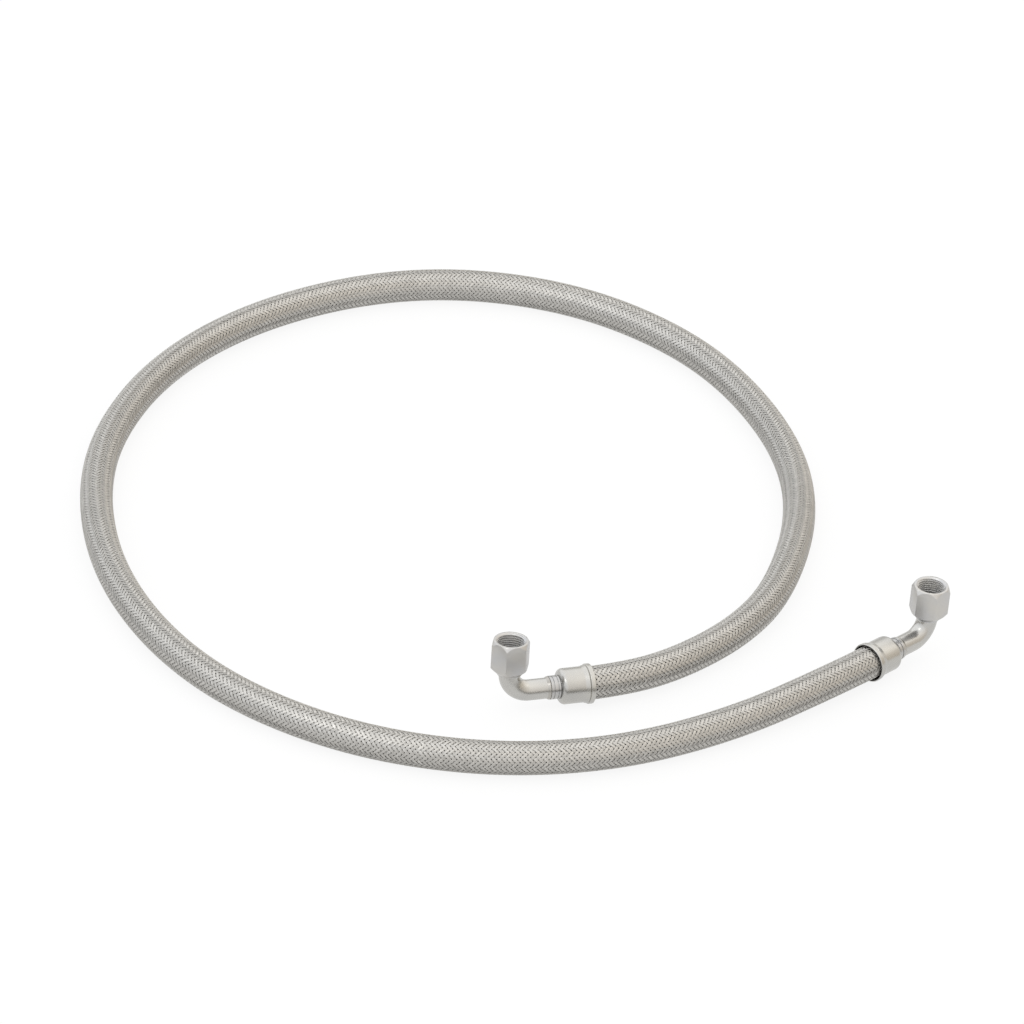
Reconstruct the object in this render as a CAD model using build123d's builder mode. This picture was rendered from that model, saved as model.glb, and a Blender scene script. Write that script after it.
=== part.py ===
"""Hydraulic hose assembly: a wire-braided 1/2 in hose with a crimped ferrule, a 90 degree bent tube
and a 37 degree swivel nut at each end, lying on a flat surface in one loose open loop.

Millimetres, +Z up, the surface at Z = 0, the origin under the middle of the loop.
Each end fitting is drawn in its own section plane: local x runs from the nut axis along the leg
to the hose, local y runs up the nut axis, and the leg axis is at y = 0.
"""

import os
from math import cos, radians, sin, tan

from build123d import *

# Hose: radii of the layer boundaries, from the bore out.
BORE_R = 6.35
CORE_R = 8.15
INNER_BRAID_R = 8.75
FRICTION_R = 9.95
HOSE_R = 10.75

# Bent tube
TUBE_R = 6.75
TUBE_BORE_R = 5.0
BEND_R = 13.5
TUBE_TOP = 22.5
TUBE_END = 31.0

# Swivel nut, 3/4-16 UNF, 22.2 mm across flats
HEX_APOTHEM = 11.1
CORNER_R = 12.95
NUT_BOTTOM = 13.4
NUT_TOP = 37.6
NUT_NECK_R = 7.9
NUT_NECK_H = 0.8
NUT_NECK_BORE_R = 7.1
NUT_TAPER_TOP = 19.2
THREAD_R = 8.7
THREAD_LOW = 27.4
COUNTERSINK_R = 9.7
RIM_R = 11.05
RIM_CHAMFER_H = 3.3
RELIEF_R = 9.6
SWIVEL_BORE_R = 8.4
NUT_SHOULDER = 18.0

# Swivel seat, a 37 degree cone on the top of the bent tube
SEAT_R = 8.1
SEAT_LOW = 19.0
SEAT_TOP = 26.8
SEAT_MOUTH_R = 7.55
SEAT_ANGLE = 37.0

# Thrust wire, in matching grooves of the seat and the nut
WIRE_R = 0.8
WIRE_RING_R = 8.25
WIRE_HEIGHT = 21.0
WIRE_GROOVE_SEAT_R = 0.85
WIRE_GROOVE_NUT_R = 1.0
WIRE_ARC = 350

# Nipple: grooved collar outside, barbed stem inside the hose
COLLAR_START = 27.0
COLLAR_R = 7.65
COLLAR_GROOVE_R = 7.15
COLLAR_GROOVES = (28.6, 31.4)
COLLAR_GROOVE_W = 0.6
LOCK_GROOVE_START = 33.4
NIPPLE_SHOULDER_R = 7.7
NIPPLE_SHOULDER_END = 36.6
STEM_BORE_R = 4.6
STEM_TROUGH_R = 5.8
STEM_END = 52.2
BARB_START = 38.6
BARB_PITCH = 3.0
BARB_COUNT = 4

# Ferrule
FERRULE_START = 33.5
FERRULE_WEB_END = 36.0
FERRULE_WEB_R = 7.2
FERRULE_R = 11.6
FERRULE_SHOULDER = 3.3
FERRULE_FLARE_START = 48.6
FERRULE_BORE_R = 9.55
LIP_START = 52.0
LIP_R = 12.9
LIP_MOUTH_R = 12.25
MOUTH = 55.0

# Hose end inside the ferrule: squeezed to CRIMP_R up to CRIMP_END, full size from FULL_START
HOSE_END = 36.8
CRIMP_END = 49.3
FULL_START = 52.9
CRIMP_R = FERRULE_BORE_R

# Where the fittings lie: the foot of the nut axis, the leg's heading from the nut to the hose,
# how far the fitting leans about its leg, how the nut's flats are turned, and how far along the
# leg axis the hose has its first bend.
LEG_HEIGHT = LIP_R
END_A = {"nut_xy": (7.4, -216.0), "heading": 20.5, "lean": 5.0, "hex_turn": 1.0, "first_bend": 74.0}
END_B = {"nut_xy": (272.1, -101.3), "heading": 228.0, "lean": 0.0, "hex_turn": -1.0, "first_bend": 82.0}

# Hose route between the two first bends
ROUTE = [
    (114, -161),
    (152, -116),
    (177, -62),
    (191, 29),
    (181, 110),
    (146, 189),
    (99, 246),
    (30, 286),
    (-50, 294),
    (-124, 270),
    (-195, 215),
    (-246, 141),
    (-273, 52),
    (-275, -30),
    (-256, -117),
    (-216, -193),
    (-160, -249),
    (-84, -285),
    (0, -292),
    (79, -271),
    (151, -225),
]
ARC_SHARE = 0.45


def section_plane(end):
    """The plane that holds the fitting's leg axis (x) and nut axis (y)."""
    heading, lean = radians(end["heading"]), radians(end["lean"])
    leg = Vector(cos(heading), sin(heading), 0)
    across = Vector(-sin(heading), cos(heading), 0)
    nut = across * sin(lean) + Vector(0, 0, cos(lean))
    origin = Vector(*end["nut_xy"], LEG_HEIGHT)
    return Plane(origin=origin, x_dir=leg, z_dir=leg.cross(nut))


def leg_axis(end):
    plane = section_plane(end)
    return Axis(plane.origin, plane.x_dir)


def nut_axis(end):
    plane = section_plane(end)
    return Axis(plane.origin, plane.y_dir)


def on_leg(end, distance):
    """A point on the leg axis, by its distance from the nut axis."""
    return section_plane(end).from_local_coords(Vector(distance, 0, 0))


def rounded(outline):
    """A closed line through the outline's points, each an x, a y and the corner's radius."""
    points = [(x, y) for x, y, _ in outline]
    radii = [radius for _, _, radius in outline]
    with BuildLine() as closed:
        FilletPolyline(*points, radius=radii, close=True)
    return closed.edges()


def turned(end, axis, outline):
    """A piece turned on a lathe: the outline spun about an axis of the fitting."""
    with BuildPart() as piece:
        with BuildSketch(section_plane(end)):
            make_face(rounded(outline))
        revolve(axis=axis)
    return piece


def swivel_nut(end):
    """Hexagonal nut: tapered below, turned rim above, countersunk thread, swivel bore."""
    sink = COUNTERSINK_R - THREAD_R
    outline = [
        (NUT_NECK_BORE_R, NUT_BOTTOM, 0),
        (NUT_NECK_R, NUT_BOTTOM, 0.3),
        (NUT_NECK_R, NUT_BOTTOM + NUT_NECK_H, 0),
        (CORNER_R, NUT_TAPER_TOP, 0),
        (CORNER_R, NUT_TOP - RIM_CHAMFER_H, 0),
        (RIM_R, NUT_TOP, 0.2),
        (COUNTERSINK_R, NUT_TOP, 0),
        (THREAD_R, NUT_TOP - sink, 0),
        (THREAD_R, THREAD_LOW, 0),
        (RELIEF_R, THREAD_LOW - 0.4, 0),
        (RELIEF_R, THREAD_LOW - 1.8, 0),
        (SWIVEL_BORE_R, THREAD_LOW - 2.4, 0),
        (SWIVEL_BORE_R, NUT_SHOULDER, 0),
        (NUT_NECK_BORE_R, NUT_SHOULDER, 0),
    ]
    plane = section_plane(end)
    foot = plane.from_local_coords(Vector(0, NUT_BOTTOM, 0))
    hex_plane = Plane(origin=foot, x_dir=plane.x_dir, z_dir=plane.y_dir)
    with BuildPart() as nut:
        with BuildSketch(plane):
            make_face(rounded(outline))
        revolve(axis=nut_axis(end))
        with BuildSketch(hex_plane):
            RegularPolygon(HEX_APOTHEM, 6, major_radius=False, rotation=end["hex_turn"])
        extrude(amount=NUT_TOP - NUT_BOTTOM, mode=Mode.INTERSECT)
        with BuildSketch(plane):
            with Locations((WIRE_RING_R, WIRE_HEIGHT)):
                Circle(WIRE_GROOVE_NUT_R)
        revolve(axis=nut_axis(end), mode=Mode.SUBTRACT)
    return nut


def swivel_seat(end):
    """Seat piece brazed on the tube's top, with a 37 degree cone and the thrust wire's groove."""
    cone_depth = (SEAT_MOUTH_R - TUBE_BORE_R) / tan(radians(SEAT_ANGLE))
    outline = [
        (TUBE_R, SEAT_LOW, 0),
        (SEAT_R, SEAT_LOW, 0.3),
        (SEAT_R, SEAT_TOP, 0.3),
        (SEAT_MOUTH_R, SEAT_TOP, 0),
        (TUBE_BORE_R, SEAT_TOP - cone_depth, 0),
        (TUBE_BORE_R, TUBE_TOP, 0),
        (TUBE_R, TUBE_TOP, 0),
    ]
    with BuildPart() as seat:
        with BuildSketch(section_plane(end)):
            make_face(rounded(outline))
            with Locations((WIRE_RING_R, WIRE_HEIGHT)):
                Circle(WIRE_GROOVE_SEAT_R, mode=Mode.SUBTRACT)
        revolve(axis=nut_axis(end))
    return seat


def thrust_wire(end):
    """Open wire ring that holds the nut on the seat and lets it turn."""
    with BuildPart() as wire:
        with BuildSketch(section_plane(end)):
            with Locations((WIRE_RING_R, WIRE_HEIGHT)):
                Circle(WIRE_R)
        revolve(axis=nut_axis(end), revolution_arc=WIRE_ARC)
    return wire


def seat_braze(end):
    """Brazing fillet under the seat."""
    outline = [(TUBE_R, SEAT_LOW, 0), (TUBE_R, SEAT_LOW - 0.65, 0), (TUBE_R + 0.9, SEAT_LOW, 0)]
    return turned(end, nut_axis(end), outline)


def collar_braze(end):
    """Brazing fillet between the bent tube and the nipple's collar."""
    outline = [
        (COLLAR_START, TUBE_R, 0),
        (COLLAR_START - 2.2, TUBE_R, 0),
        (COLLAR_START - 0.5, COLLAR_R - 0.1, 0.5),
        (COLLAR_START, COLLAR_R - 0.45, 0),
    ]
    return turned(end, leg_axis(end), outline)


def elbow_tube(end):
    """Bent tube from the nipple's socket to the seat."""
    plane = section_plane(end)
    start = plane.from_local_coords(Vector(TUBE_END, 0, 0))
    with BuildPart() as tube:
        with BuildLine(plane) as bend:
            FilletPolyline((TUBE_END, 0), (0, 0), (0, TUBE_TOP), radius=BEND_R)
        with BuildSketch(Plane(origin=start, z_dir=-plane.x_dir)):
            Circle(TUBE_R)
            Circle(TUBE_BORE_R, mode=Mode.SUBTRACT)
        sweep(path=bend.wire())
    return tube


def nipple(end):
    """Insert: socket and grooved collar outside the ferrule, barbed stem in the hose's bore."""
    outline = [(COLLAR_START, TUBE_R, 0), (COLLAR_START, COLLAR_R, 0.2)]
    for groove in COLLAR_GROOVES:
        groove_end = groove + COLLAR_GROOVE_W
        outline += [
            (groove, COLLAR_R, 0.15),
            (groove, COLLAR_GROOVE_R, 0),
            (groove_end, COLLAR_GROOVE_R, 0),
            (groove_end, COLLAR_R, 0.15),
        ]
    outline += [
        (LOCK_GROOVE_START, COLLAR_R, 0.2),
        (LOCK_GROOVE_START, COLLAR_GROOVE_R, 0),
        (FERRULE_WEB_END, COLLAR_GROOVE_R, 0),
        (FERRULE_WEB_END, NIPPLE_SHOULDER_R, 0),
        (NIPPLE_SHOULDER_END, NIPPLE_SHOULDER_R, 0),
        (NIPPLE_SHOULDER_END, BORE_R, 0),
        (BARB_START, BORE_R, 0),
    ]
    for i in range(BARB_COUNT):
        crest = BARB_START + i * BARB_PITCH
        outline += [(crest, STEM_TROUGH_R, 0), (crest + BARB_PITCH, BORE_R, 0)]
    outline += [
        (STEM_END, STEM_TROUGH_R - 0.4, 0),
        (STEM_END, STEM_BORE_R, 0),
        (TUBE_END, STEM_BORE_R, 0),
        (TUBE_END, TUBE_R, 0),
    ]
    return turned(end, leg_axis(end), outline)


def ferrule(end):
    """Crimped shell: web locked in the nipple's groove, rounded shoulder, flared and beaded mouth."""
    outline = [
        (FERRULE_START, FERRULE_WEB_R, 0),
        (FERRULE_START, FERRULE_R, FERRULE_SHOULDER),
        (FERRULE_FLARE_START, FERRULE_R, 2),
        (LIP_START - 0.7, FERRULE_R + 0.8, 0.2),
        (LIP_START - 0.35, FERRULE_R + 0.5, 0),
        (LIP_START, LIP_R, 0.4),
        (MOUTH, LIP_R, 0.6),
        (MOUTH, LIP_MOUTH_R, 0),
        (MOUTH - 4.1, HOSE_R + 0.2, 0.6),
        (CRIMP_END - 0.5, FERRULE_BORE_R, 0),
        (FERRULE_WEB_END, FERRULE_BORE_R, 0),
        (FERRULE_WEB_END, FERRULE_WEB_R, 0),
    ]
    return turned(end, leg_axis(end), outline)


def hose_route():
    """The hose's corner points, from its end in one ferrule to its end in the other."""
    first = [on_leg(END_A, HOSE_END), on_leg(END_A, END_A["first_bend"])]
    last = [on_leg(END_B, END_B["first_bend"]), on_leg(END_B, HOSE_END)]
    return first + [Vector(x, y, HOSE_R) for x, y in ROUTE] + last


def bend_radii(route):
    """The largest arc that each corner's shorter run allows."""
    radii = []
    for before, corner, after in zip(route, route[1:], route[2:]):
        run_in, run_out = corner - before, after - corner
        turn = run_in.get_angle(run_out)
        radii.append(ARC_SHARE * min(run_in.length, run_out.length) / tan(radians(turn) / 2))
    return radii


def hose_line():
    """The hose's centreline where it has its full size."""
    route = hose_route()
    radii = bend_radii(route)
    points = [on_leg(END_A, FULL_START)] + route[1:-1] + [on_leg(END_B, FULL_START)]
    with BuildLine() as line:
        FilletPolyline(*points, radius=radii)
    return line.wire()


def crimped(radius):
    """A layer boundary's radius under the ferrule: the wall is squeezed between stem and ferrule."""
    return BORE_R + (radius - BORE_R) * (CRIMP_R - BORE_R) / (HOSE_R - BORE_R)


def hose_layer(line, inner, outer):
    """One layer of the hose, with its squeezed ends."""
    end_outline = [
        (HOSE_END, crimped(inner)),
        (HOSE_END, crimped(outer)),
        (CRIMP_END, crimped(outer)),
        (FULL_START, outer),
        (FULL_START, inner),
        (CRIMP_END, crimped(inner)),
    ]
    if inner == BORE_R:
        end_outline.pop()
    with BuildPart() as layer:
        with BuildSketch(Plane(origin=line @ 0, z_dir=line % 0)):
            Circle(outer)
            Circle(inner, mode=Mode.SUBTRACT)
        sweep(path=line)
        for end in (END_A, END_B):
            with BuildSketch(section_plane(end)):
                with BuildLine():
                    Polyline(*end_outline, close=True)
                make_face()
            revolve(axis=leg_axis(end))
    return layer


def save(piece, name):
    piece.part.label = name
    export_step(piece.part, f"parts/{name}.step")


os.makedirs("parts", exist_ok=True)

hose_centre = hose_line()
layers = {
    "hose_core_tube": (BORE_R, CORE_R),
    "hose_inner_braid": (CORE_R, INNER_BRAID_R),
    "hose_friction_layer": (INNER_BRAID_R, FRICTION_R),
    "hose_outer_braid": (FRICTION_R, HOSE_R),
}
for name, (inner, outer) in layers.items():
    save(hose_layer(hose_centre, inner, outer), name)

fitting_pieces = {
    "ferrule": ferrule,
    "nipple": nipple,
    "elbow_tube": elbow_tube,
    "collar_braze": collar_braze,
    "swivel_seat": swivel_seat,
    "seat_braze": seat_braze,
    "thrust_wire": thrust_wire,
    "swivel_nut": swivel_nut,
}
for side, end in (("a", END_A), ("b", END_B)):
    for name, make in fitting_pieces.items():
        save(make(end), f"{name}_{side}")

print("bend radii", [round(r) for r in bend_radii(hose_route())])
print("free hose length, ferrule to ferrule", round(hose_centre.length - 2 * (MOUTH - FULL_START), 1))
print("whole hose length", round(hose_centre.length + 2 * (FULL_START - HOSE_END), 1))
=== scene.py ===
"""Looks of a braided hydraulic hose with two right-angle swivel fittings, around its CAD model.

Metres, +Z up, the floor at Z = 0. The hose's four layers are rebuilt here along one smooth line,
the outer one as woven strands of wire. The nuts get real threads and softened edges. All other
pieces of the fittings keep their CAD shapes and get better materials.
"""

from math import atan2, cos, pi, radians, sin, tau

import bpy
import numpy as np
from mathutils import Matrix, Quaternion, Vector


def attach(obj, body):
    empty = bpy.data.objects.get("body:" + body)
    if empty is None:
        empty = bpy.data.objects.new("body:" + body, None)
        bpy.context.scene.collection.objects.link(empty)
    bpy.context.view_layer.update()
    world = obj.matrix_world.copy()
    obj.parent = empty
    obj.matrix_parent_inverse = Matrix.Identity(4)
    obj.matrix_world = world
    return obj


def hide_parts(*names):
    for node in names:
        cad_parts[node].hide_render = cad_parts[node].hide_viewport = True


MM = 0.001

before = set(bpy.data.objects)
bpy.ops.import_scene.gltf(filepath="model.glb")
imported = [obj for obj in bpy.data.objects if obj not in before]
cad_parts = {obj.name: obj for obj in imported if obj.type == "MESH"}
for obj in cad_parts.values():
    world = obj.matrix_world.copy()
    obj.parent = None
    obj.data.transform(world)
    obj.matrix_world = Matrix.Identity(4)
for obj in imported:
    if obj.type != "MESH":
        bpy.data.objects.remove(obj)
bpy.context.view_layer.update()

# Camera: 32 degrees above the floor, looking along +Y, a long lens and a slight roll
CAMERA_ELEVATION = 32.0
CAMERA_ROLL = 5.5
CAMERA_LENS = 261.6
CAMERA_PLACE = (-0.001, -4.14857, 2.60431)

# Fittings, as in the CAD: the foot of the nut's axis, the leg's heading and the nut's lean, and how
# far along the leg the hose's route turns into a curve
LEG_HEIGHT = 12.9
END_A = {"side": "a", "nut_xy": (7.4, -216.0), "heading": 20.5, "lean": 5.0, "first_bend": 74.0}
END_B = {"side": "b", "nut_xy": (272.1, -101.3), "heading": 228.0, "lean": 0.0, "first_bend": 82.0}
# Along the leg: the ferrule's mouth, and the hose's end inside the ferrule
HOSE_START = 36.8

# Hose: radii of the layer boundaries, the free length in metres, and the route between the two
# first bends, as in the CAD
BORE_R, CORE_R, INNER_BRAID_R, RUBBER_R, HOSE_R = 6.35, 8.15, 8.75, 9.95, 10.75
ROUTE = [
    (114, -161),
    (152, -116),
    (177, -62),
    (191, 29),
    (181, 110),
    (146, 189),
    (99, 246),
    (30, 286),
    (-50, 294),
    (-124, 270),
    (-195, 215),
    (-246, 141),
    (-273, 52),
    (-275, -30),
    (-256, -117),
    (-216, -193),
    (-160, -249),
    (-84, -285),
    (0, -292),
    (79, -271),
    (151, -225),
]
# Inside the ferrules the hose's wall is squeezed to this share of its thickness. From CRIMP_END to
# FULL_START, measured like HOSE_START, it grows to its full thickness
CRIMP_SHARE = 0.72
CRIMP_END, FULL_START = 49.0, 52.7
# Steps of the hose's line between two points of its route, and the clearance between its layers
LINE_STEPS = 60
LAYER_GAP = 0.02
# Rings of points on a layer: how many there are between its ends, and how far those of an end are
# from it, close together where the wall grows
MIDDLE_RINGS = 560
END_RINGS = np.concatenate(
    [[0, 5], np.arange(CRIMP_END - 1.2, FULL_START + 0.6, 0.6) - HOSE_START]
)
LAYER_SIDES = 32

# Braid: carriers each way, lead of the helix, strand of parallel wires, and how many visible
# pieces the carriers of one way are divided into
CARRIERS = 20
LEAD = 63.5
STRAND_W = 1.8
WIRE_D = 0.36
WIRES = 5
STRAND_GROUPS = 4
# How far, in mm, the shades of one strand's wires are shifted against those of the strand before
SHADE_SHIFT = 7.31

# Swivel nut's thread, 3/4-16 UNF, cut with a tap that runs from below the relief groove to above
# the nut's mouth. Between its ridges the tap is slimmer than the bore. It starts thin, and from
# TAP_START, in the groove, it widens by TAP_TAPER to its full size
THREAD_PITCH = 25.4 / 16
THREAD_MAJOR_R = 9.45
TAP_MINOR_R = 8.55
TAP_LEAD_R = 8.0
TAP_START, TAP_TAPER = 25.7, 1.2
TAP_LOW, TAP_TOP = 22.6, 41.0
TAP_COLUMNS = 72
# The tap's radius at these parts of a pitch, which puts 60 degrees between a ridge's flanks
TAP_PHASES = np.array([0, 0.125, 0.452, 0.673])
TAP_RADII = np.array([THREAD_MAJOR_R, THREAD_MAJOR_R, TAP_MINOR_R, TAP_MINOR_R])

# Swivel nut's edges: how far they are rounded, and from which angle between their faces they are
# rounded, or shaded sharp. Points of the CAD mesh closer than the weld, in metres, become one
NUT_EDGE = 0.22
ROUNDED_FROM, SHARP_FROM = 25, 32
NUT_WELD = 2e-6
# A nut's bore faces, which get a lighter steel as painted light, lie within its countersink,
# face its axis, and face up less than the cone
COUNTERSINK_R = 9.7
FACING_AXIS, FACING_UP = -0.1, 0.65

# Sky, as stops of colour: from low behind the camera (-1) to high behind the object (1), up from
# the horizon (0 to 1), from the left (-1) to the right (1), and from the near side (-1) to the far
# side (1)
SKY_TOP = (0, 0.6, 0.8)
SKY = [
    (-0.8, (0.68, 0.68, 0.68)),
    (-0.1, (0.82, 0.82, 0.825)),
    (0.6, (0.98, 0.98, 0.98)),
    (1.0, (0.96, 0.96, 0.96)),
]
SKY_LOW = [
    (0.0, (0.86, 0.855, 0.85)),
    (0.12, (0.90, 0.895, 0.89)),
    (0.35, (1.0, 1.0, 1.0)),
    (1.0, (1.0, 1.0, 1.0)),
]
SKY_SIDE = [
    (-1.0, (0.95, 0.97, 1.0)),
    (0.0, (1.0, 1.0, 1.0)),
    (0.5, (0.97, 0.94, 0.90)),
    (1.0, (0.64, 0.585, 0.51)),
]
SKY_FAR = [
    (-1.0, (1.0, 1.0, 1.0)),
    (0.78, (1.0, 1.0, 1.0)),
    (0.87, (0.93, 0.93, 0.925)),
    (0.95, (0.58, 0.575, 0.56)),
    (1.0, (0.50, 0.495, 0.48)),
]
SKY_STRENGTH = 1.62


def camera():
    data = bpy.data.cameras.new("camera")
    data.lens = CAMERA_LENS
    data.sensor_width = 36
    data.clip_start, data.clip_end = 0.1, 100
    cam = bpy.data.objects.new("camera", data)
    bpy.context.scene.collection.objects.link(cam)
    elevation = radians(CAMERA_ELEVATION)
    sight = Vector((0, cos(elevation), -sin(elevation)))
    roll = Quaternion((0, 0, 1), radians(CAMERA_ROLL))
    cam.rotation_mode = "QUATERNION"
    cam.rotation_quaternion = sight.to_track_quat("-Z", "Y") @ roll
    cam.location = CAMERA_PLACE
    bpy.context.scene.camera = cam


def fitting_axes(end):
    """The origin, the leg's direction and the nut's direction of a fitting, in metres."""
    heading, lean = radians(end["heading"]), radians(end["lean"])
    leg = Vector((cos(heading), sin(heading), 0))
    across = Vector((-sin(heading), cos(heading), 0))
    nut = across * sin(lean) + Vector((0, 0, cos(lean)))
    return Vector((*end["nut_xy"], LEG_HEIGHT)) * MM, leg, nut


def on_leg(end, distance):
    origin, leg, _ = fitting_axes(end)
    return origin + leg * distance * MM


def new_mesh(name, points, face_groups, material, uv=None):
    """A smooth-shaded mesh object. Each group of faces is an array with one face a row."""
    mesh = bpy.data.meshes.new(name)
    corners = np.concatenate([group.ravel() for group in face_groups]).astype(np.int32)
    sizes = np.concatenate([np.full(len(group), group.shape[1]) for group in face_groups])
    mesh.vertices.add(len(points))
    mesh.vertices.foreach_set("co", points.astype(np.float32).ravel())
    mesh.loops.add(len(corners))
    mesh.loops.foreach_set("vertex_index", corners)
    mesh.polygons.add(len(sizes))
    mesh.polygons.foreach_set("loop_start", (np.cumsum(sizes) - sizes).astype(np.int32))
    mesh.polygons.foreach_set("use_smooth", np.ones(len(sizes), bool))
    if uv is not None:
        layer = mesh.uv_layers.new(name="wires")
        layer.data.foreach_set("uv", uv[corners].astype(np.float32).ravel())
    mesh.update(calc_edges=True)
    if material:
        mesh.materials.append(material)
    piece = bpy.data.objects.new(name, mesh)
    bpy.context.scene.collection.objects.link(piece)
    return piece


def hose_line():
    """Points down the middle of the hose, on a smooth spline through its route."""
    first = [on_leg(END_A, HOSE_START), on_leg(END_A, END_A["first_bend"])]
    last = [on_leg(END_B, END_B["first_bend"]), on_leg(END_B, HOSE_START)]
    route = first + [Vector((x, y, HOSE_R)) * MM for x, y in ROUTE] + last
    curve = bpy.data.curves.new("hose_line", "CURVE")
    curve.dimensions = "3D"
    curve.resolution_u = LINE_STEPS
    spline = curve.splines.new("NURBS")
    spline.points.add(len(route) - 1)
    for point, place in zip(spline.points, route):
        point.co = (*place, 1)
    spline.order_u = 3
    spline.use_endpoint_u = True
    bare = bpy.data.objects.new("hose_line", curve)
    mesh = bpy.data.meshes.new_from_object(bare)
    line = np.array([v.co for v in mesh.vertices], float)
    bpy.data.meshes.remove(mesh)
    bpy.data.curves.remove(curve)
    return line


class HoseSurface:
    """Places on the hose by distance along it, angle round it and radius, all in metres."""

    def __init__(self, line):
        steps = np.linalg.norm(np.diff(line, axis=0), axis=1)
        self.line = line
        self.along = np.concatenate([[0], np.cumsum(steps)])
        self.length = self.along[-1]
        tangent = np.gradient(line, self.along, axis=0)
        tangent /= np.linalg.norm(tangent, axis=1)[:, None]
        side = np.cross(tangent, (0, 0, 1))
        self.side = side / np.linalg.norm(side, axis=1)[:, None]
        self.up = np.cross(self.side, tangent)

    def wall(self, s):
        """The share of its full thickness that the hose's wall has there."""
        inside = np.minimum(s, self.length - s) / MM + HOSE_START
        t = np.clip((inside - CRIMP_END) / (FULL_START - CRIMP_END), 0, 1)
        return CRIMP_SHARE + (1 - CRIMP_SHARE) * t * t * (3 - 2 * t)

    def at(self, s, angle, radius):
        def read(values):
            return np.stack([np.interp(s, self.along, values[:, k]) for k in range(3)], axis=-1)

        across, up = np.cos(angle)[..., None], np.sin(angle)[..., None]
        outward = read(self.side) * across + read(self.up) * up
        bore = BORE_R * MM
        return read(self.line) + outward * (bore + (radius - bore) * self.wall(s))[..., None]


def grid_faces(rows, columns, start=0):
    """Quads between neighbouring rows of points, the last column joined to the first."""
    row = np.arange(rows - 1)[:, None] * columns
    column = np.arange(columns)[None, :]
    beside = (column + 1) % columns
    corners = [row + column, row + columns + column, row + columns + beside, row + beside]
    return np.stack(corners, axis=-1).reshape(-1, 4) + start


def hose_layer(name, surface, inner, outer, material):
    """A tube with a wall: an outer and an inner skin, and flat ends between them."""
    end = END_RINGS * MM
    middle = np.linspace(end[-1], surface.length - end[-1], MIDDLE_RINGS)[1:-1]
    s = np.concatenate([end, middle, surface.length - end[::-1]])
    rings, sides = len(s), LAYER_SIDES
    angle = np.arange(sides) * tau / sides
    grid_s, grid_angle = np.meshgrid(s, angle, indexing="ij")
    skins = [
        surface.at(grid_s, grid_angle, np.full_like(grid_s, radius * MM)).reshape(-1, 3)
        for radius in (outer, inner)
    ]
    count = rings * sides
    outer_faces = grid_faces(rings, sides)
    inner_faces = grid_faces(rings, sides, start=count)[:, ::-1]
    k = np.arange(sides)
    beside = (k + 1) % sides
    last = count - sides
    start_cap = np.stack([k, k + count, beside + count, beside], axis=-1)[:, ::-1]
    end_cap = np.stack([k, beside, beside + count, k + count], axis=-1)[:, ::-1] + last
    faces = [outer_faces, inner_faces, start_cap, end_cap]
    return new_mesh(name, np.vstack(skins), faces, material)


# Strand section: round wires side by side, as places across it in half widths and heights in half
# wires, closed underneath. Samples along it, in crossings from the middle of an over-float.
CREST = np.arange(WIRES) * 2 / WIRES - 1 + 1 / WIRES
VALLEY = CREST[:-1] + 1 / WIRES
STRAND_ACROSS = np.sort(np.concatenate([CREST, VALLEY, [-1, 1]]))
STRAND_HEIGHT = np.array([-0.5] + [1.0, 0.25] * (WIRES - 1) + [1.0, -0.5])
FLOAT_SAMPLES = np.array([-0.74, 0, 0.74, 1.26, 2.0, 2.74])
FLOAT_LEVELS = np.array([0.86, 1.12, 0.86, -0.86, -1.0, -0.86])


def strand(surface, hand, index):
    """Points and along-and-across values of one carrier's strand. hand is 1 or -1.

    A strand lies over two strands of the other hand and then under two, each step of the count u
    being one crossing.
    """
    lead = LEAD * MM
    steps = 2 * CARRIERS * surface.length / lead
    offset = 2 * index
    middle = 0.5 if hand == 1 else 2.5
    first = int((offset - steps) // 4) - 2
    last = int((offset + steps) // 4) + 2
    periods = np.arange(first, last)[:, None] * 4 + middle
    u = (periods + FLOAT_SAMPLES[None, :]).ravel()
    level = np.tile(FLOAT_LEVELS, last - first)
    s = hand * (u - offset) * lead / (2 * CARRIERS)
    kept = (s > -MM) & (s < surface.length + MM)
    u, level, s = u[kept], level[kept], s[kept]
    angle = pi * u / CARRIERS
    slope = atan2(tau * HOSE_R, LEAD)
    across = STRAND_ACROSS[None, :] * STRAND_W / 2 * MM
    s_grid = np.clip(s[:, None] - hand * across * sin(slope), 0, surface.length)
    angle_grid = angle[:, None] + across * cos(slope) / (HOSE_R * MM)
    middle_r = HOSE_R - WIRE_D / 2 + (level - 1) / 2 * WIRE_D
    radius = (middle_r[:, None] + STRAND_HEIGHT[None, :] * WIRE_D / 2) * MM
    points = surface.at(s_grid, angle_grid, radius)
    values = np.stack(
        [
            np.broadcast_to(s[:, None] / cos(slope) / MM, radius.shape),
            np.broadcast_to((STRAND_ACROSS[None, :] + 1) / 2 * WIRES, radius.shape),
        ],
        axis=-1,
    )
    if s[0] > s[-1]:
        points, values = points[::-1], values[::-1]
    return points, values


def strand_group(name, surface, hand, indices, material):
    """One piece with several carriers' strands."""
    points, values, faces, start = [], [], [], 0
    for index in indices:
        place, value = strand(surface, hand, index)
        rows, columns = place.shape[:2]
        points.append(place.reshape(-1, 3))
        values.append(value.reshape(-1, 2) + (index * SHADE_SHIFT, index * WIRES))
        faces.append(grid_faces(rows, columns, start))
        edge = np.arange(columns)[None, :] + start
        faces.extend([edge, edge[:, ::-1] + (rows - 1) * columns])
        start += rows * columns
    return new_mesh(name, np.vstack(points), faces, material, uv=np.vstack(values))


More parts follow.
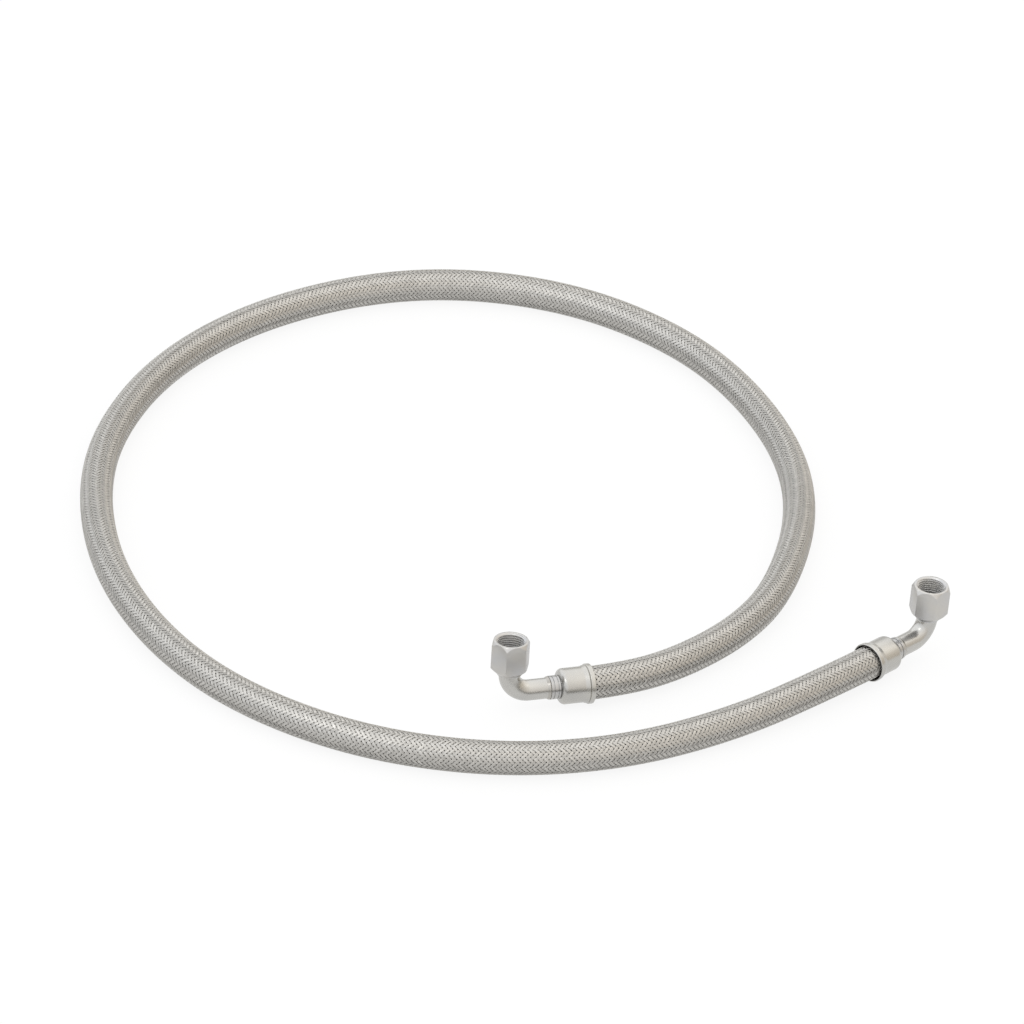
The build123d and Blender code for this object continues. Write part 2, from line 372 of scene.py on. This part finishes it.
def tap(end):
    """A threaded rod on the nut's axis: what the nut's thread is cut with."""
    origin, leg, nut = fitting_axes(end)
    across = nut.cross(leg)
    columns = TAP_COLUMNS
    turn_rows = len(TAP_PHASES)
    turns = int((TAP_TOP - TAP_LOW) / THREAD_PITCH)
    rows = turns * turn_rows
    row_turns = (np.arange(turns)[:, None] + TAP_PHASES[None, :]).ravel()
    angle = np.arange(columns) * tau / columns
    height = TAP_LOW + (row_turns[:, None] + angle[None, :] / tau) * THREAD_PITCH
    lead_in = TAP_LEAD_R + np.maximum(0, height - TAP_START) * TAP_TAPER
    radius = np.minimum(np.tile(TAP_RADII, turns)[:, None], lead_in)
    outward = np.outer(np.cos(angle), leg) + np.outer(np.sin(angle), across)
    foot, up = np.array(origin), np.array(nut)
    points = foot + (radius[..., None] * outward + height[..., None] * up) * MM
    caps = [foot + middle * up * MM for middle in (height[0, 0], height[-1, -1])]

    def at(row, column):
        return np.where(column == columns, (row + turn_rows) * columns, row * columns + column)

    grid = np.meshgrid(np.arange(rows - 1), np.arange(columns), indexing="ij")
    row, column = [numbers.ravel() for numbers in grid]
    whole = (column < columns - 1) | (row + 1 + turn_rows < rows)
    row, column = row[whole], column[whole]
    sides = np.stack(
        [at(row, column), at(row, column + 1), at(row + 1, column + 1), at(row + 1, column)],
        axis=-1,
    )
    steps = np.arange(1, turn_rows + 1)
    low_edge = np.concatenate([np.arange(columns), steps[::-1] * columns])
    top_row = (rows - 1) * columns + np.arange(columns)
    top_edge = np.concatenate([top_row, (rows - steps) * columns - 1])
    count = rows * columns
    low_middle, top_middle = np.full_like(low_edge, count), np.full_like(top_edge, count + 1)
    low_cap = np.stack([low_edge, low_middle, np.roll(low_edge, -1)], axis=-1)
    top_cap = np.stack([top_edge, np.roll(top_edge, -1), top_middle], axis=-1)
    every_point = np.vstack([points.reshape(-1, 3), *caps])
    return new_mesh("tap", every_point, [sides, low_cap, top_cap], None)


def threaded_nut(end, outside, bore):
    """The CAD nut with softened edges, a cut thread and, in the bore, a lighter copy of its steel
    as painted light.
    """
    side = end["side"]
    cad_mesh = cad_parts[f"swivel_nut_{side}"].data
    nut = bpy.data.objects.new(f"threaded_nut_{side}", cad_mesh.copy())
    bpy.context.scene.collection.objects.link(nut)
    weld = nut.modifiers.new("weld", "WELD")
    weld.merge_threshold = NUT_WELD
    bevel = nut.modifiers.new("soft_edges", "BEVEL")
    bevel.width = NUT_EDGE * MM
    bevel.segments = 2
    bevel.limit_method = "ANGLE"
    bevel.angle_limit = radians(ROUNDED_FROM)
    cutter = tap(end)
    cut = nut.modifiers.new("thread", "BOOLEAN")
    cut.operation = "DIFFERENCE"
    cut.solver = "EXACT"
    cut.object = cutter
    shape = nut.evaluated_get(bpy.context.evaluated_depsgraph_get())
    mesh = bpy.data.meshes.new_from_object(shape)
    nut.modifiers.clear()
    nut.data = mesh
    bpy.data.objects.remove(cutter)
    if "custom_normal" in mesh.attributes:
        mesh.attributes.remove(mesh.attributes["custom_normal"])
    mesh.polygons.foreach_set("use_smooth", np.ones(len(mesh.polygons), bool))
    mesh.set_sharp_from_angle(angle=radians(SHARP_FROM))
    mesh.materials.clear()
    mesh.materials.append(outside)
    mesh.materials.append(bore)
    origin, _, axis = fitting_axes(end)
    # Faces in the bore get the second material, a lighter steel: painted light
    for face in mesh.polygons:
        arm = face.center - origin
        arm -= arm.dot(axis) * axis
        inward = face.normal.dot(arm) < FACING_AXIS * arm.length
        inward = inward and face.normal.dot(axis) < FACING_UP
        face.material_index = int(inward and arm.length < COUNTERSINK_R * MM)
    return nut


# Materials: the size of the steel's clouds and grain, as noise scales, and the grain's depth
CLOUD_SCALE, GRAIN_SCALE, GRAIN_DEPTH = 60.0, 1500.0, 0.00002
# The same of the rubber's clouds, which are its bumps too, and how dark their dark side is
RUBBER_SCALE, RUBBER_DEPTH, RUBBER_DARK = 300.0, 0.0001, 0.6
# The braid's colours: painted shade in the crevices between its wires, and on their tops.
# The lower the power, the narrower the shaded crevices.
# Each wire's shade is read off noise, this far on for each millimetre along it and for each wire
WIRE_GAP_SHADE, WIRE_TOP = (0.17, 0.165, 0.155), (0.64, 0.625, 0.592)
GAP_SHADE_POWER = 0.45
SHADE_ALONG, SHADE_ACROSS = 0.05, 3.7
# Floor: half its width, how far it lies below the object, and its own colour and glow
FLOOR_HALF, FLOOR_GAP = 8.0, 0.0002
FLOOR_BASE, FLOOR_GLOW = (0.10, 0.10, 0.10), 0.87
# Lamps: name, place, watts and width
LAMPS = [
    ("key", (-1.2, -1.6, 2.8), 6, 0.9),
    ("fill", (2.2, 0.4, 2.2), 2, 1.6),
]


def node_material(name):
    material = bpy.data.materials.new(name)
    material.use_nodes = True
    nodes = material.node_tree.nodes
    nodes.clear()
    output = nodes.new("ShaderNodeOutputMaterial")
    shader = nodes.new("ShaderNodeBsdfPrincipled")
    material.node_tree.links.new(shader.outputs["BSDF"], output.inputs["Surface"])
    return material, nodes, material.node_tree.links, shader


def noise(nodes, links, vector, scale, detail=3.0):
    texture = nodes.new("ShaderNodeTexNoise")
    texture.inputs["Scale"].default_value = scale
    texture.inputs["Detail"].default_value = detail
    links.new(vector, texture.inputs["Vector"])
    return texture.outputs["Fac"]


def between(nodes, links, value, low, high, from_low=0.3, from_high=0.7):
    """The value as a number from low to high. Most noise lies between 0.3 and 0.7."""
    ranged = nodes.new("ShaderNodeMapRange")
    ranged.inputs["From Min"].default_value = from_low
    ranged.inputs["From Max"].default_value = from_high
    ranged.inputs["To Min"].default_value = low
    ranged.inputs["To Max"].default_value = high
    links.new(value, ranged.inputs["Value"])
    return ranged.outputs["Result"]


def ramp(nodes, links, value, stops, low=0):
    """A colour read off the stops, each a value from low to 1 and a colour."""
    node = nodes.new("ShaderNodeValToRGB")
    elements = node.color_ramp.elements
    places = [(stop - low) / (1 - low) for stop, _ in stops]
    elements[0].position, elements[1].position = places[0], places[-1]
    elements[0].color, elements[1].color = (*stops[0][1], 1), (*stops[-1][1], 1)
    for place, (_, colour) in zip(places[1:-1], stops[1:-1]):
        elements.new(place).color = (*colour, 1)
    links.new(between(nodes, links, value, 0, 1, low, 1) if low else value, node.inputs["Fac"])
    return node.outputs["Color"]


def mixed(nodes, links, value, dark, light):
    return ramp(nodes, links, value, [(0, dark), (1, light)])


def math_node(nodes, links, operation, a, b=None):
    node = nodes.new("ShaderNodeMath")
    node.operation = operation
    for socket, value in zip(node.inputs, (a, b)):
        if isinstance(value, (int, float)):
            socket.default_value = value
        elif value is not None:
            links.new(value, socket)
    return node.outputs["Value"]


def steel(name, dark, light, roughness, grain=0.06, metallic=1.0):
    """Satin steel: cloudy colour and roughness, and a fine grain."""
    material, nodes, links, shader = node_material(name)
    place = nodes.new("ShaderNodeTexCoord").outputs["Object"]
    cloud = between(nodes, links, noise(nodes, links, place, CLOUD_SCALE), 0, 1)
    links.new(mixed(nodes, links, cloud, dark, light), shader.inputs["Base Color"])
    fine = noise(nodes, links, place, GRAIN_SCALE, detail=2.0)
    rough = between(nodes, links, fine, roughness * 0.92, roughness * 1.1)
    links.new(rough, shader.inputs["Roughness"])
    shader.inputs["Metallic"].default_value = metallic
    bump = nodes.new("ShaderNodeBump")
    bump.inputs["Strength"].default_value = grain
    bump.inputs["Distance"].default_value = GRAIN_DEPTH
    links.new(fine, bump.inputs["Height"])
    links.new(bump.outputs["Normal"], shader.inputs["Normal"])
    return material


def braid_material():
    """Bright round wires side by side, each with its own slight tone, and painted shade in the
    crevices between them.
    """
    material, nodes, links, shader = node_material("braid_wire")
    values = nodes.new("ShaderNodeUVMap")
    values.uv_map = "wires"
    split = nodes.new("ShaderNodeSeparateXYZ")
    links.new(values.outputs["UV"], split.inputs["Vector"])
    along, across = split.outputs["X"], split.outputs["Y"]
    # Painted shade: the colour darkens towards each wire's edges, into the crevices between the
    # wires
    half_turns = math_node(nodes, links, "MULTIPLY", across, pi)
    ridge = math_node(nodes, links, "ABSOLUTE", math_node(nodes, links, "SINE", half_turns))
    crevice_shade = math_node(nodes, links, "POWER", ridge, GAP_SHADE_POWER)
    wire = math_node(nodes, links, "FLOOR", across)
    lane = nodes.new("ShaderNodeCombineXYZ")
    links.new(math_node(nodes, links, "MULTIPLY", along, SHADE_ALONG), lane.inputs["X"])
    links.new(math_node(nodes, links, "MULTIPLY", wire, SHADE_ACROSS), lane.inputs["Y"])
    shade = noise(nodes, links, lane.outputs["Vector"], 1.0, detail=2.0)
    tone_and_crevice_shade = math_node(nodes, links, "MULTIPLY", between(nodes, links, shade, 0.6, 1.0), crevice_shade)
    colour = mixed(nodes, links, tone_and_crevice_shade, WIRE_GAP_SHADE, WIRE_TOP)
    links.new(colour, shader.inputs["Base Color"])
    links.new(between(nodes, links, shade, 0.5, 0.36), shader.inputs["Roughness"])
    shader.inputs["Metallic"].default_value = 1.0
    return material


def rubber(name, shade):
    """Dull rubber: cloudy colour and slight bumps."""
    material, nodes, links, shader = node_material(name)
    place = nodes.new("ShaderNodeTexCoord").outputs["Object"]
    cloud = noise(nodes, links, place, RUBBER_SCALE)
    dark = tuple(RUBBER_DARK * c for c in shade)
    colour = mixed(nodes, links, between(nodes, links, cloud, 0, 1), dark, shade)
    links.new(colour, shader.inputs["Base Color"])
    shader.inputs["Roughness"].default_value = 0.75
    bump = nodes.new("ShaderNodeBump")
    bump.inputs["Strength"].default_value = 0.3
    bump.inputs["Distance"].default_value = RUBBER_DEPTH
    links.new(cloud, bump.inputs["Height"])
    links.new(bump.outputs["Normal"], shader.inputs["Normal"])
    return material


def floor_and_light():
    """A plain white floor, a softly graded studio sky and two large soft lamps."""
    material, nodes, links, shader = node_material("floor")
    shader.inputs["Base Color"].default_value = (*FLOOR_BASE, 1)
    shader.inputs["Roughness"].default_value = 1.0
    shader.inputs["Specular IOR Level"].default_value = 0.0
    shader.inputs["Emission Color"].default_value = (1, 1, 1, 1)
    shader.inputs["Emission Strength"].default_value = FLOOR_GLOW
    corners = np.array([(-1, -1, 0), (1, -1, 0), (1, 1, 0), (-1, 1, 0)]) * FLOOR_HALF
    floor = new_mesh("floor", corners, [np.array([[0, 1, 2, 3]])], material)
    floor.location.z = -FLOOR_GAP

    world = bpy.data.worlds.new("studio")
    world.use_nodes = True
    bpy.context.scene.world = world
    nodes, links = world.node_tree.nodes, world.node_tree.links
    nodes.clear()
    output = nodes.new("ShaderNodeOutputWorld")
    background = nodes.new("ShaderNodeBackground")
    background.inputs["Strength"].default_value = SKY_STRENGTH
    direction = nodes.new("ShaderNodeTexCoord").outputs["Generated"]
    split = nodes.new("ShaderNodeSeparateXYZ")
    links.new(direction, split.inputs["Vector"])
    slope = nodes.new("ShaderNodeVectorMath")
    slope.operation = "DOT_PRODUCT"
    slope.inputs[1].default_value = SKY_TOP
    links.new(direction, slope.inputs[0])
    colour = ramp(nodes, links, slope.outputs["Value"], SKY, low=-1)
    shades = (("Z", SKY_LOW, 0), ("X", SKY_SIDE, -1), ("Y", SKY_FAR, -1))
    for axis, stops, low in shades:
        mix = nodes.new("ShaderNodeMix")
        mix.data_type = "RGBA"
        mix.blend_type = "MULTIPLY"
        mix.inputs["Factor"].default_value = 1
        links.new(colour, mix.inputs["A"])
        links.new(ramp(nodes, links, split.outputs[axis], stops, low), mix.inputs["B"])
        colour = mix.outputs["Result"]
    links.new(colour, background.inputs["Color"])
    links.new(background.outputs["Background"], output.inputs["Surface"])

    for name, place, watts, size in LAMPS:
        data = bpy.data.lights.new(name, "AREA")
        data.energy = watts
        data.size = size
        lamp = bpy.data.objects.new(name, data)
        lamp.location = place
        lamp.rotation_mode = "QUATERNION"
        lamp.rotation_quaternion = (-Vector(place)).to_track_quat("-Z", "Y")
        bpy.context.scene.collection.objects.link(lamp)


camera()
surface = HoseSurface(hose_line())

wire_steel = braid_material()
black_rubber = rubber("hose_rubber", (0.022, 0.021, 0.02))
inner_wire = steel("inner_wire", (0.3, 0.29, 0.27), (0.45, 0.44, 0.42), 0.45)
layers = [
    hose_layer("core_tube", surface, BORE_R, CORE_R, black_rubber),
    hose_layer("inner_braid_sleeve", surface, CORE_R + LAYER_GAP, INNER_BRAID_R, inner_wire),
    hose_layer("rubber_layer", surface, INNER_BRAID_R + LAYER_GAP, RUBBER_R, black_rubber),
]
for piece, node, slot in zip(
    layers,
    ("hose_core_tube", "hose_inner_braid", "hose_friction_layer"),
    ("core_rubber", "braid_wire", "core_rubber"),
):
    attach(piece, "hose_line")
    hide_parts(node)

share = CARRIERS // STRAND_GROUPS
for hand, lay in ((1, "right"), (-1, "left")):
    for group in range(STRAND_GROUPS):
        indices = range(group * share, (group + 1) * share)
        piece = strand_group(f"braid_{lay}_lay_{group + 1}", surface, hand, indices, wire_steel)
        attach(piece, "hose_line")
        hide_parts("hose_outer_braid")

looks = {
    "ferrule": steel("ferrule_steel", (0.43, 0.425, 0.41), (0.485, 0.475, 0.445), 0.27, grain=0.03),
    "nipple": steel("nipple_steel", (0.42, 0.42, 0.42), (0.48, 0.47, 0.45), 0.24),
    "elbow_tube": steel("tube_steel", (0.455, 0.45, 0.435), (0.51, 0.50, 0.472), 0.27, grain=0.03),
    "collar_braze": steel("braze", (0.40, 0.385, 0.36), (0.45, 0.435, 0.40), 0.32),
    "swivel_seat": steel("seat_steel", (0.50, 0.50, 0.49), (0.58, 0.57, 0.55), 0.34),
    "seat_braze": steel("seat_braze", (0.38, 0.365, 0.34), (0.44, 0.425, 0.39), 0.34),
    "thrust_wire": steel("spring_wire", (0.36, 0.35, 0.33), (0.43, 0.42, 0.40), 0.30),
}
for name, material in looks.items():
    for side in "ab":
        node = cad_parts[f"{name}_{side}"]
        node.data.materials.clear()
        node.data.materials.append(material)

nut_steel = steel("nut_steel", (0.47, 0.475, 0.49), (0.52, 0.505, 0.475), 0.38)
# The bore's steel is a lighter, partly diffuse copy of the nut's: painted light on its inner walls
nut_bore_painted_light = steel("nut_bore_painted_light", (0.80, 0.795, 0.78), (0.88, 0.87, 0.85), 0.36, metallic=0.7)
nuts = {}
for end in (END_A, END_B):
    side = end["side"]
    nuts[side] = threaded_nut(end, nut_steel, nut_bore_painted_light)
    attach(nuts[side], f"nut_{side}")
    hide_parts(f"swivel_nut_{side}")

floor_and_light()
bpy.context.scene.view_settings.view_transform = "Standard"
